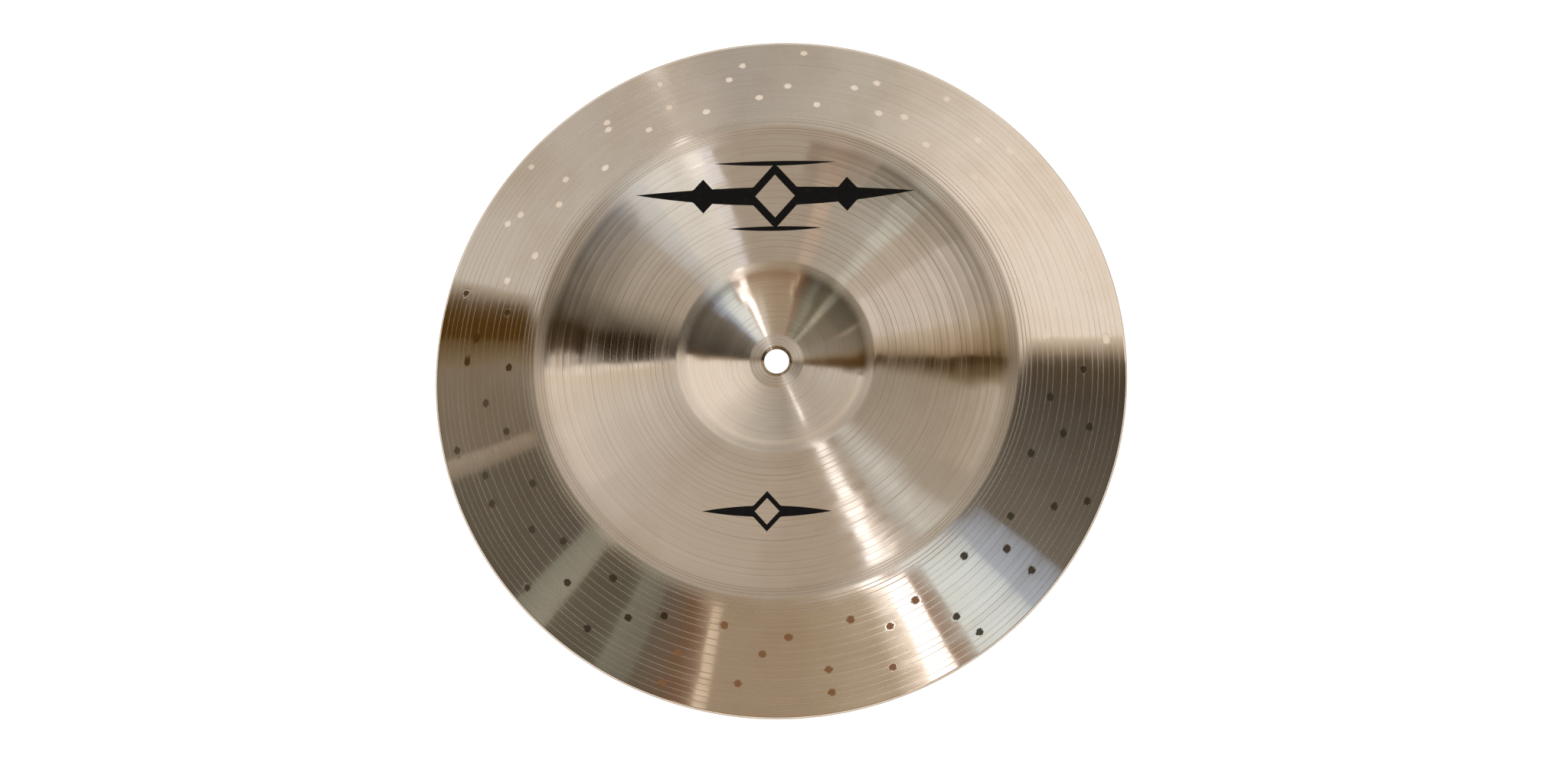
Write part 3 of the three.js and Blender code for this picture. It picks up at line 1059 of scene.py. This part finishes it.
# The studio cards hang round the cymbal and over it. Each is placed by where the camera sees its
# mirror image in metal that leans outward, from one angle round the cymbal to another, in degrees
# from +X towards +Y. Then come its colours at the two ends and its strength. Metal that leans
# inward mirrors the cards of the other side. The steeper the metal, the lower its card hangs: the
# bottoms of the hammer marks mirror the low cards, the flange and the steep part of the cup the
# side cards, and the rest of the cup the middle cards. The bow mirrors the overhead cards, and the
# crease cards where it nears the crease. The flat ring round the hole mirrors the zenith cards.
SIDE_CARDS = (
    ("card_back_right", 36, 66, "#FFFFFF", "#D6D8D8", 1.0),
    ("card_back", 66, 97, "#D0D2D2", "#B6B8BA", 1.0),
    ("card_back_glow", 97, 109, "#B6B8BA", "#D4D4D4", 1.0),
    ("card_back_streak", 109, 122, "#D4D4D4", "#C8C8C8", 1.0),
    ("card_back_left", 122, 166.5, "#C8C8C8", "#D8DADC", 1.0),
    ("card_left_brown_edge", 166.5, 169.5, "#B8B2A6", "#5A4012", 1.0),
    ("card_left_brown", 169.5, 177, "#543C10", "#584014", 1.0),
    ("card_left_brown_fade", 177, 182, "#70603C", "#8E8474", 1.0),
    ("card_left_shade", 182, 198, "#8C867C", "#807A70", 1.0),
    ("card_left_line", 198, 201.5, "#B0AAA0", "#8A847A", 1.0),
    ("card_left", 201.5, 223.5, "#68665E", "#605E58", 1.0),
    ("card_front_left_window", 223.5, 230, "#868E88", "#A0A49E", 1.0),
    ("card_front_left", 230, 240, "#68665E", "#5E5E56", 1.0),
    ("card_front_pale", 240, 246, "#808680", "#7C7E78", 1.0),
    ("card_front_red", 246, 256.8, "#686660", "#7A5E48", 1.0),
    ("card_front_line", 256.8, 259, "#FFF4E4", "#FFF4E4", 0.9),
    ("card_front", 259, 276, "#ABA090", "#ACA090", 1.0),
    ("card_front_edge", 276, 295.7, "#AEA492", "#C8C0B4", 1.0),
    ("card_strip", 295.7, 300, "#F0F4FF", "#F0F4FF", 4.0),
    ("card_strip_edge", 300, 304, "#A68A78", "#A08A78", 1.0),
    ("card_window", 304, 315, "#E0F2FF", "#D8ECFC", 1.18),
    ("card_window_blue", 315, 322.5, "#BCD0EC", "#ACBEDC", 1.0),
    ("card_right", 322.5, 351, "#7A7976", "#54524E", 1.0),
    ("card_right_brown", 351, 358.5, "#54504A", "#524A3C", 1.0),
    ("card_right_edge", 358.5, 362.5, "#564C3C", "#DCD2C4", 1.0),
)
LOW_CARDS = (
    ("low_brown", 162, 182, "#4A3A1C", "#4A3A1C", 1.0),
    ("low_left", 182, 254, "#58544A", "#343028", 1.0),
    ("low_front", 254, 305, "#8A6A50", "#8A6A50", 1.0),
    ("low_right", 305, 361, "#4A4A44", "#34322C", 1.0),
)
OVERHEAD_CARDS = (
    ("overhead_back_right", 7, 24, "#DED8CE", "#DADCDE", 1.0),
    ("overhead_back_middle", 24, 60, "#D8D8DA", "#C4C0BC", 1.0),
    ("overhead_back", 60, 112, "#C6C2BC", "#BCB6AE", 1.0),
    ("overhead_strip_back", 112, 116.7, "#E8EEFA", "#E8EEFA", 2.2),
    ("overhead_back_gap", 116.7, 122, "#AEA69A", "#B4B2AC", 1.0),
    ("overhead_back_window", 122, 128, "#C4CACE", "#E8F6FF", 1.0),
    ("overhead_window_fade", 128, 135, "#E6F2FC", "#B6B6B4", 1.0),
    ("overhead_back_left", 135, 167, "#B8B6B2", "#AAA8A0", 1.0),
    ("overhead_brown_edge", 167, 170, "#968C7A", "#5E4E32", 1.0),
    ("overhead_brown", 170, 175, "#46361A", "#46361A", 1.0),
    ("overhead_left_brown", 175, 186, "#AC9E84", "#E4E0DA", 1.0),
    ("overhead_left", 186, 212, "#E8E8EA", "#E8E8EC", 1.0),
    ("overhead_left_shade", 212, 225, "#D4D2CE", "#CECCC8", 1.0),
    ("overhead_left_window", 225, 232, "#E0ECF0", "#DAE6EA", 1.0),
    ("overhead_front_left", 232, 250, "#C6CCCE", "#C0C4C4", 1.0),
    ("overhead_front_pale", 250, 257, "#D8CEC8", "#D4CAC4", 1.0),
    ("overhead_front", 257, 286, "#B8B6B2", "#B4B0AA", 1.0),
    ("overhead_strip", 286, 291, "#E6EEFF", "#E6EEFF", 1.2),
    ("overhead_window", 291, 306, "#E6F0F8", "#E0E8EE", 1.15),
    ("overhead_window_blue", 306, 315, "#E0ECFA", "#CCD2DA", 1.0),
    ("overhead_right", 315, 338, "#C4C2BE", "#B8B6B0", 1.0),
    ("overhead_right_shade", 338, 352.5, "#B4B2AA", "#2A200E", 1.0),
    ("overhead_right_brown", 352.5, 364.5, "#241804", "#1C1000", 1.0),
)
CREASE_CARDS = (
    ("crease_back_right", 1, 40, "#F8F4F0", "#E0DEDC", 1.0),
    ("crease_strip_back", 113.5, 117.5, "#E4E4EA", "#E4E4EA", 1.9),
    ("crease_back_left", 141, 165, "#CAC8C2", "#D0CCC6", 1.0),
    ("crease_brown_edge", 165, 171, "#A69A84", "#5A482A", 1.0),
    ("crease_brown", 171, 176.5, "#4E3C1E", "#5A482C", 1.0),
    ("crease_left_brown", 176.5, 190, "#8A7A5E", "#9C9482", 1.0),
    ("crease_left", 190, 226, "#908C84", "#7C7870", 1.0),
    ("crease_left_shade", 226, 244, "#726E66", "#7A766E", 1.0),
    ("crease_front_left", 244, 264, "#A0948C", "#948A80", 1.0),
    ("crease_right", 316.5, 350, "#7C8490", "#3C362A", 1.0),
    ("crease_right_brown", 350, 361, "#463620", "#46361E", 1.0),
)
MIDDLE_CARDS = (
    ("middle_left_edge", 184, 200, "#928E86", "#88847E", 1.0),
    ("middle_left", 200, 225.5, "#827E72", "#767266", 1.0),
    ("middle_left_window", 225.5, 232, "#B6BAB0", "#B8BCB2", 1.0),
    ("middle_left_shade", 232, 239, "#727064", "#727064", 1.0),
    ("middle_front_window", 239, 246, "#92968A", "#92968A", 1.0),
    ("middle_front_red", 246, 258.5, "#868A82", "#907A68", 1.0),
    ("middle_front_edge", 286, 292, "#CCC8C0", "#E6E6E4", 1.0),
    ("middle_window", 304, 318, "#E0F2FF", "#D0DEF0", 1.35),
    ("middle_right", 330, 357.5, "#6C6A66", "#3A3832", 1.0),
    ("middle_strip_back", 107, 109.5, "#E6EEFF", "#E6EEFF", 2.6),
)
ZENITH_CARDS = (
    ("zenith_back", 0, 180, "#8A8680", "#8A8680", 1.0),
    ("zenith_front", 180, 360, "#C4C0BA", "#C4C0BA", 1.0),
)
ZENITH_LEANS = (0, math.radians(1.2))
OVERHEAD_LEANS = (0, math.radians(5.5))
CREASE_LEANS = (math.radians(3.9), math.radians(5.5))
MIDDLE_LEANS = (math.radians(5.5), math.radians(22))
SIDE_LEANS = (math.radians(5.5), math.radians(33))
LOW_LEANS = (math.radians(33), math.radians(44))
NEAR_CARD_SHARE = 0.97
# The cup is nearer the middle than the flange, and sees a card a little further on. So a card is
# bent sideways above and below the lean of the flange, by a share that grows across the two gaps.
BEND_LEAN = math.radians(25.5)
BEND_GAPS = (math.radians(1.5), math.radians(4.5))
BEND_TURN = math.radians(302)
BEND_MOST = math.radians(5.5)


def camera_direction():
    """From the middle of the cymbal to the camera."""
    away = Vector((0, -math.sin(CAMERA_TILT), math.cos(CAMERA_TILT)))
    return Matrix.Rotation(CAMERA_TURN, 3, "Z") @ away


def mirrored_place(turn, lean, view, distance):
    """Where a card stands that the camera sees mirrored in metal that leans outward there."""
    if lean >= OVERHEAD_LEANS[1]:
        near, far = BEND_GAPS
        share = min(max((abs(lean - BEND_LEAN) - near) / (far - near), 0), 1)
        turn -= BEND_MOST * share * math.cos(turn - BEND_TURN)
    normal = Vector((math.cos(turn) * math.sin(lean), math.sin(turn) * math.sin(lean), math.cos(lean)))
    return (2 * normal.dot(view) * normal - view) * distance


def card_mesh(name, turns, leans, view, distance):
    """A curved card that faces the cymbal, with how far each point is along it."""
    (start, end), (low, high) = turns, leans
    columns = max(1, math.ceil((end - start) / CARD_STEP))
    rows = math.ceil((high - low) / CARD_STEP)
    places = []
    shares = []
    for row in range(rows + 1):
        for column in range(columns + 1):
            turn = start + (end - start) * column / columns
            places.append(mirrored_place(turn, low + (high - low) * row / rows, view, distance))
            shares.append(column / columns)
    wide = columns + 1
    firsts = [row * wide + column for row in range(rows) for column in range(columns)]
    faces = [(first, first + 1, first + wide + 1, first + wide) for first in firsts]
    mesh = bpy.data.meshes.new(name)
    mesh.from_pydata(places, [], faces)
    mesh.attributes.new("along", "FLOAT", "POINT").data.foreach_set("value", shares)
    return mesh


def make_cards():
    """The studio cards, which are seen only as mirror images."""
    view = (CAMERA_TARGET + camera_direction() * CAMERA_DISTANCE).normalized()
    rings = (
        (SIDE_CARDS, SIDE_LEANS, CARD_DISTANCE),
        (LOW_CARDS, LOW_LEANS, CARD_DISTANCE),
        (OVERHEAD_CARDS, OVERHEAD_LEANS, CARD_DISTANCE),
        (CREASE_CARDS, CREASE_LEANS, CARD_DISTANCE * NEAR_CARD_SHARE),
        (MIDDLE_CARDS, MIDDLE_LEANS, CARD_DISTANCE * NEAR_CARD_SHARE),
        (ZENITH_CARDS, ZENITH_LEANS, CARD_DISTANCE * NEAR_CARD_SHARE),
    )
    for cards, leans, distance in rings:
        for name, start, end, start_code, end_code, strength in cards:
            turns = (math.radians(start), math.radians(end))
            shape = card_mesh(name, turns, leans, view, distance)
            shape.materials.append(card_material(name, start_code, end_code, strength))
            card = mesh_object(name, shape)
            card.visible_camera = False
            card.visible_diffuse = False
            card.visible_shadow = False


def make_floor():
    """A wide round floor just under the crown."""
    shape = bmesh.new()
    bmesh.ops.create_circle(shape, cap_ends=True, segments=FLOOR_SEGMENTS, radius=FLOOR_RADIUS)
    bmesh.ops.translate(shape, verts=shape.verts, vec=(0, 0, -FLOOR_DROP))
    bmesh.ops.recalc_face_normals(shape, faces=shape.faces)
    if shape.faces[0].normal.z < 0:
        bmesh.ops.reverse_faces(shape, faces=shape.faces)
    mesh = bpy.data.meshes.new("studio_floor")
    shape.to_mesh(mesh)
    shape.free()
    floor = mesh_object("studio_floor", mesh)
    mesh.materials.append(floor_material())


def make_world():
    """Plain white light from all round."""
    world = bpy.data.worlds.new("plain studio")
    world.use_nodes = True
    tree = world.node_tree
    tree.nodes.clear()
    sky = add_node(tree, "ShaderNodeBackground", {"Color": colour("#FFFFFF"), "Strength": 1.0})
    add_node(tree, "ShaderNodeOutputWorld", {"Surface": sky.outputs[0]})
    bpy.context.scene.world = world


def make_camera():
    """The camera where the photograph was taken from."""
    away = camera_direction()
    right = Vector((0, 1, 0)).cross(away).normalized()
    axes = Matrix((right, away.cross(right), away)).transposed()
    data = bpy.data.cameras.new("photo camera")
    data.lens = CAMERA_LENS_MM
    data.sensor_width = CAMERA_SENSOR_MM
    data.clip_start = CAMERA_CLIP_START
    camera = bpy.data.objects.new("photo camera", data)
    bpy.context.scene.collection.objects.link(camera)
    camera.matrix_world = Matrix.Translation(CAMERA_TARGET + away * CAMERA_DISTANCE) @ axes.to_4x4()
    bpy.context.scene.camera = camera


# The sheet


def hammer_points():
    """An object with one vertex for each hammer mark, in the plane of the rim."""
    tree = hammer_row_tree()
    dots = mesh_object("hammer marks", bpy.data.meshes.new("hammer marks"))
    for row, (share, count, start, zigzag, error) in enumerate(HAMMER_ROWS):
        values = {
            "Count": count,
            "Radius": share * RIM_RADIUS,
            "Start Angle": math.radians(start),
            "Zigzag": zigzag,
            "Error": error,
            "Seed": LATHE_SEED + row,
        }
        add_modifier(dots, tree, values)
    return mesh_object("hammer marks", applied_mesh(dots, "hammer marks"))


def refine_near(mesh, middles, reach):
    """Cut the faces of the hollow side finer where a mark falls on them."""
    shape = bmesh.new()
    shape.from_mesh(mesh)
    upper = shape.verts.layers.float["upper"]
    # Only the marks in a window of angles round a face are tried
    marks = [(math.atan2(middle.y, middle.x), middle) for middle in middles]
    marks.sort(key=lambda mark: mark[0])
    turns = [turn for turn, _ in marks]
    chosen = set()
    for face in shape.faces:
        spot = face.calc_center_median().xy
        if face.verts[0][upper] < 0.5 or spot.length < CREASE_RADIUS:
            continue
        turn = math.atan2(spot.y, spot.x)
        window = REFINE_WINDOW_SHARE * reach / spot.length
        first = bisect.bisect_left(turns, turn - window)
        last = bisect.bisect_right(turns, turn + window)
        if any((middle - spot).length < reach for _, middle in marks[first:last]):
            chosen.add(face)
    edges = [edge for edge in shape.edges if not chosen.isdisjoint(edge.link_faces)]
    bmesh.ops.subdivide_edges(shape, edges=edges, cuts=REFINE_CUTS, use_grid_fill=True)
    bmesh.ops.triangulate(shape, faces=[face for face in shape.faces if len(face.verts) > 4])
    shape.to_mesh(mesh)
    shape.free()


def faces_outward(mesh):
    """Whether a closed mesh has its faces pointing out."""
    shape = bmesh.new()
    shape.from_mesh(mesh)
    volume = shape.calc_volume(signed=True)
    shape.free()
    return volume > 0


def make_sheet():
    """Turn the sheet on the lathe, hammer it and dress it in bronze."""
    lathe = bpy.context.scene.cymbal_lathe
    hammer = bpy.context.scene.cymbal_hammer
    bronze = lathed_bronze(bpy.context.scene.cymbal_finish)
    section = section_object(SheetSection(), lathe)
    values = {"Steps": TURN_STEPS, "Spindle": RIM_RADIUS, "Material": bronze}
    add_modifier(section, turned_sheet_tree(), values)
    mesh = applied_mesh(section, "cymbal_sheet")
    if not faces_outward(mesh):
        mesh.flip_normals()
    marks = hammer_points()
    middles = [vert.co.to_2d() for vert in marks.data.vertices]
    refine_near(mesh, middles, REFINE_REACH_SHARE * hammer.mark_length)
    sheet = mesh_object("turned sheet", mesh)
    values = {
        "Marks": marks,
        "Mark Length": hammer.mark_length,
        "Mark Width": hammer.mark_width,
        "Mark Depth": hammer.mark_depth,
        "Wave Size": hammer.wave_size,
        "Wave Depth": hammer.wave_depth,
        "Cup Radius": CUP_RADIUS,
        "Crease Radius": CREASE_RADIUS,
        "Rim Radius": RIM_RADIUS,
        "Seed": WAVE_SEED,
        "Material": bronze,
    }
    add_modifier(sheet, hammered_sheet_tree(), values)
    cymbal = mesh_object("cymbal", applied_mesh(sheet, "cymbal"))
    bpy.data.objects.remove(marks)
    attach(cymbal, BODY)
    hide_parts("cymbal_plate")


# The prints, as heights above and below a line along X

BAR_THICKNESS_SHARE = 0.28
LOZENGE_WIDTH_SHARE = 0.92
LOZENGE_OPEN_SHARE = 0.66
SIDE_LOZENGE_SHARE = 0.52
RULE_THICKNESS_SHARE = 0.07
SIDE_LOZENGE_PLACE_SHARE = 0.26
UPPER_RULE_WIDTH_SHARE = 0.44
LOWER_RULE_WIDTH_SHARE = 0.34
UPPER_PRINT_SHARES = {"side": 1, "place": 0.49, "shift": 0, "tall": 0.46, "width": 0.59}
LOWER_PRINT_SHARES = {"side": -1, "place": 0.42, "shift": -0.05, "tall": 0.27, "width": 0.26}
INK_LIFT = 0.1 * MM
INK_THICKNESS = 0.05 * MM
INK_COLUMN = 0.8 * MM
INK_ROWS = 4
INK_MERGE_GAP = 0.02 * MM
INK_LEAST_EDGE = 0.01 * MM
INK_SHARP_ANGLE = math.radians(40)


def lozenge_height(x, width, tall):
    """Half the height of a lozenge at a distance from its middle."""
    return max(0.0, tall / 2 * (1 - abs(x) / (width / 2)))


def bar_height(x, width, thickness):
    """Half the height of a bar that swells in the middle, at a distance from its middle."""
    return max(0.0, thickness / 2 * (1 - (2 * x / width) ** 2))


class Ornament:
    """A lozenge on a swelled bar, with side lozenges and rules on the larger print."""

    def __init__(self, shares, rich):
        bow = CREASE_RADIUS - CUP_RADIUS
        self.x = bow * shares["shift"]
        self.y = shares["side"] * (CUP_RADIUS + bow * shares["place"])
        self.width = 2 * CREASE_RADIUS * shares["width"]
        self.tall = bow * shares["tall"]
        self.rich = rich

    def outer(self, x):
        """Half the height of the outline."""
        heights = [
            bar_height(x, self.width, self.tall * BAR_THICKNESS_SHARE),
            lozenge_height(x, self.tall * LOZENGE_WIDTH_SHARE, self.tall),
        ]
        if self.rich:
            small = self.tall * SIDE_LOZENGE_SHARE
            beside = abs(x) - self.width * SIDE_LOZENGE_PLACE_SHARE
            heights.append(lozenge_height(beside, small * LOZENGE_WIDTH_SHARE, small))
        return max(heights)

    def opening(self, x):
        """Half the height of the hole in the lozenge."""
        open_tall = self.tall * LOZENGE_OPEN_SHARE
        return lozenge_height(x, open_tall * LOZENGE_WIDTH_SHARE, open_tall)

    def rule(self, x, width_share):
        """The lower and upper edge of a rule that meets the tip of the lozenge."""
        half = bar_height(x, self.width * width_share, self.tall * RULE_THICKNESS_SHARE)
        tip = self.tall / 2
        return min(max(tip - half, self.outer(x)), tip + half), tip + half

    def bands(self, x):
        """The inked stretches at a place along the bar, from the middle outwards."""
        yield 1, self.opening(x), self.outer(x)
        yield -1, self.opening(x), self.outer(x)
        if self.rich:
            yield (1, *self.rule(x, UPPER_RULE_WIDTH_SHARE))
            yield (-1, *self.rule(x, LOWER_RULE_WIDTH_SHARE))

    def stations(self):
        """Places along the bar, close together and at every corner of the outline."""
        half = self.width / 2
        steps = round(half / INK_COLUMN)
        places = {half * n / steps for n in range(steps + 1)}
        lozenge = self.tall * LOZENGE_WIDTH_SHARE / 2
        corners = [lozenge, lozenge * LOZENGE_OPEN_SHARE]
        if self.rich:
            middle = self.width * SIDE_LOZENGE_PLACE_SHARE
            corners += [middle, self.width * UPPER_RULE_WIDTH_SHARE / 2]
            corners.append(self.width * LOWER_RULE_WIDTH_SHARE / 2)
        places.update(corners)
        return sorted({-place for place in places} | places)


def put_in_order(sequence, place_of):
    """Sort a shape's vertices or faces by place, as extruding leaves them in a chance order."""
    ranks = {item: rank for rank, item in enumerate(sorted(sequence, key=place_of))}
    sequence.sort(key=ranks.get)


def ink_film(ornament, surface, name):
    """The ornament as a thin closed film that lies on the sheet."""
    shape = bmesh.new()
    columns = []
    for x in ornament.stations():
        column = []
        for sign, low, high in ornament.bands(x):
            ys = [sign * (low + (high - low) * n / INK_ROWS) for n in range(INK_ROWS + 1)]
            column.append([shape.verts.new((ornament.x + x, ornament.y + y, 0)) for y in ys])
        columns.append(column)
    for column, following in zip(columns, columns[1:]):
        for band, next_band in zip(column, following):
            for n in range(INK_ROWS):
                shape.faces.new((band[n], next_band[n], next_band[n + 1], band[n + 1]))
    bmesh.ops.remove_doubles(shape, verts=shape.verts, dist=INK_MERGE_GAP)
    bmesh.ops.dissolve_degenerate(shape, edges=shape.edges, dist=INK_LEAST_EDGE)
    loose = [vert for vert in shape.verts if not vert.link_faces]
    bmesh.ops.delete(shape, geom=loose, context="VERTS")
    bmesh.ops.recalc_face_normals(shape, faces=shape.faces)
    if sum(face.normal.z * face.calc_area() for face in shape.faces) < 0:
        bmesh.ops.reverse_faces(shape, faces=shape.faces)
    above_sheet = UP * SHEET_HIGH[2] * 2
    for vert in shape.verts:
        hit = surface.ray_cast(vert.co + above_sheet, -UP)[0]
        if hit is None:
            raise RuntimeError("the print " + name + " reaches past the sheet")
        vert.co.z = hit.z + INK_LIFT
    made = bmesh.ops.extrude_face_region(shape, geom=shape.faces[:])
    for item in made["geom"]:
        if isinstance(item, bmesh.types.BMVert):
            item.co.z += INK_THICKNESS
    bmesh.ops.recalc_face_normals(shape, faces=shape.faces)
    put_in_order(shape.verts, lambda vert: vert.co[:])
    put_in_order(shape.faces, lambda face: face.calc_center_median()[:])
    mesh = bpy.data.meshes.new(name)
    shape.to_mesh(mesh)
    shape.free()
    mesh.shade_smooth()
    mesh.set_sharp_from_angle(angle=INK_SHARP_ANGLE)
    return mesh_object(name, mesh)


def make_prints():
    """Print both ornaments on the sheet that is there."""
    cymbal = bpy.data.objects["cymbal"]
    surface = BVHTree.FromObject(cymbal, bpy.context.evaluated_depsgraph_get())
    ink = printed_ink(bpy.context.scene.cymbal_finish)
    prints = (
        ("upper_ornament", "upper_print", Ornament(UPPER_PRINT_SHARES, True)),
        ("lower_ornament", "lower_print", Ornament(LOWER_PRINT_SHARES, False)),
    )
    for name, node, ornament in prints:
        film = ink_film(ornament, surface, name)
        film.data.materials.append(ink)
        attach(film, BODY)
        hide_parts(node)


class CYMBAL_OT_stage(bpy.types.Operator):
    """Make the floor, the cards, the world and the camera"""

    bl_idname = "cymbal.stage"
    bl_label = "Stage"

    def execute(self, context):
        make_world()
        make_floor()
        make_cards()
        make_camera()
        return {"FINISHED"}


class CYMBAL_OT_sheet(bpy.types.Operator):
    """Make the lathed and hammered bronze sheet"""

    bl_idname = "cymbal.sheet"
    bl_label = "Bronze Sheet"

    def execute(self, context):
        make_sheet()
        return {"FINISHED"}


class CYMBAL_OT_prints(bpy.types.Operator):
    """Print the two ink ornaments on the bow"""

    bl_idname = "cymbal.prints"
    bl_label = "Ink Prints"

    def execute(self, context):
        make_prints()
        return {"FINISHED"}


class CYMBAL_PT_panel(bpy.types.Panel):
    """Shows the lathe, hammer and finish settings, and the buttons that build the stage, the sheet and
    the prints
    """

    bl_idname = "CYMBAL_PT_panel"
    bl_label = "China Cymbal"
    bl_space_type = "VIEW_3D"
    bl_region_type = "UI"
    bl_category = "Cymbal"

    def draw(self, context):
        layout = self.layout
        scene = context.scene
        for group in (scene.cymbal_lathe, scene.cymbal_hammer, scene.cymbal_finish):
            box = layout.box()
            for name in group.__annotations__:
                box.prop(group, name)
        for operator in (CYMBAL_OT_stage, CYMBAL_OT_sheet, CYMBAL_OT_prints):
            layout.operator(operator.bl_idname)


CLASSES = (
    CymbalLathe,
    CymbalHammer,
    CymbalFinish,
    CYMBAL_OT_stage,
    CYMBAL_OT_sheet,
    CYMBAL_OT_prints,
    CYMBAL_PT_panel,
)


def register():
    for item in CLASSES:
        bpy.utils.register_class(item)
    bpy.types.Scene.cymbal_lathe = bpy.props.PointerProperty(type=CymbalLathe)
    bpy.types.Scene.cymbal_hammer = bpy.props.PointerProperty(type=CymbalHammer)
    bpy.types.Scene.cymbal_finish = bpy.props.PointerProperty(type=CymbalFinish)


def unregister():
    del bpy.types.Scene.cymbal_finish
    del bpy.types.Scene.cymbal_hammer
    del bpy.types.Scene.cymbal_lathe
    for item in reversed(CLASSES):
        bpy.utils.unregister_class(item)


def main():
    register()
    bpy.context.scene.view_settings.view_transform = "Standard"
    bpy.ops.cymbal.stage()
    bpy.ops.cymbal.sheet()
    bpy.ops.cymbal.prints()


if __name__ == "__main__":
    main()
